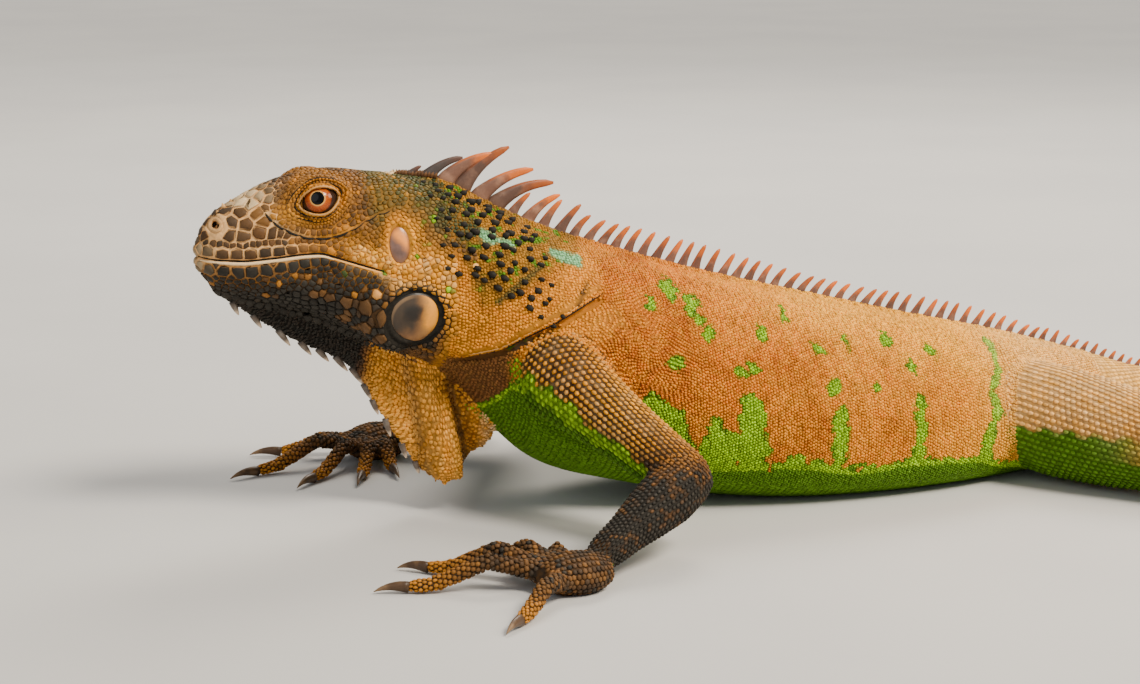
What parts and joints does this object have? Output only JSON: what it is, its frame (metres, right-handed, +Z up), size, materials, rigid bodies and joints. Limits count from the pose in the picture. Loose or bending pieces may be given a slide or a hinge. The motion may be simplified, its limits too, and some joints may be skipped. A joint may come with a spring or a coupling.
{
  "type": "green iguana",
  "caption": "Life-size adult iguana of the red form, lying on its belly with the chest raised on its forelegs, spined crest, pleated dewlap and a long tail in a slow curve.",
  "frame": {"origin": "on the floor, under the middle of the belly, in the belly's rest flat", "axes": "+X runs back along the body to the tail, -X is the way the head faces, -Y is the animal's left, +Z is up"},
  "size_m": [1.2031, 0.3707, 0.1405],
  "materials": {
    "body_hide": "fine granular scales, rust-orange with green marks, satin",
    "head_hide": "large grey-brown plates with ochre seams, satin",
    "jaw_hide": "dark lip and chin plates, satin",
    "limb_hide": "brown scales in slanting rows, satin",
    "foot_hide": "dark brown scales, ochre towards the tips",
    "plate": "smooth horn, tan with a grey smudge",
    "claw": "dark horn",
    "eye": "wet, orange-red iris and round black pupil"
  },
  "bodies": {
    "root": {"claw_foot_left_1": "claw", "claw_foot_left_2": "claw", "claw_foot_left_3": "claw", "claw_foot_left_4": "claw", "claw_foot_left_5": "claw", "claw_foot_right_1": "claw", "claw_foot_right_2": "claw", "claw_foot_right_3": "claw", "claw_foot_right_4": "claw", "claw_foot_right_5": "claw", "claw_hand_left_1": "claw", "claw_hand_left_2": "claw", "claw_hand_left_3": "claw", "claw_hand_left_4": "claw", "claw_hand_left_5": "claw", "claw_hand_right_1": "claw", "claw_hand_right_2": "claw", "claw_hand_right_3": "claw", "claw_hand_right_4": "claw", "claw_hand_right_5": "claw", "dewlap": "body_hide", "eye_left": "eye", "eye_right": "eye", "foot_left": "foot_hide", "foot_right": "foot_hide", "forearm_left": "limb_hide", "forearm_right": "limb_hide", "hand_left": "foot_hide", "hand_right": "foot_hide", "head": "head_hide", "jowl_plate_left": "plate", "jowl_plate_right": "plate", "lower_jaw": "jaw_hide", "neck": "body_hide", "shin_left": "limb_hide", "shin_right": "limb_hide", "tail_1": "body_hide", "tail_2": "body_hide", "tail_3": "body_hide", "tail_4": "body_hide", "tail_5": "body_hide", "thigh_left": "limb_hide", "thigh_right": "limb_hide", "trunk": "body_hide", "upper_arm_left": "limb_hide", "upper_arm_right": "limb_hide"}
  },
  "joints": []
}
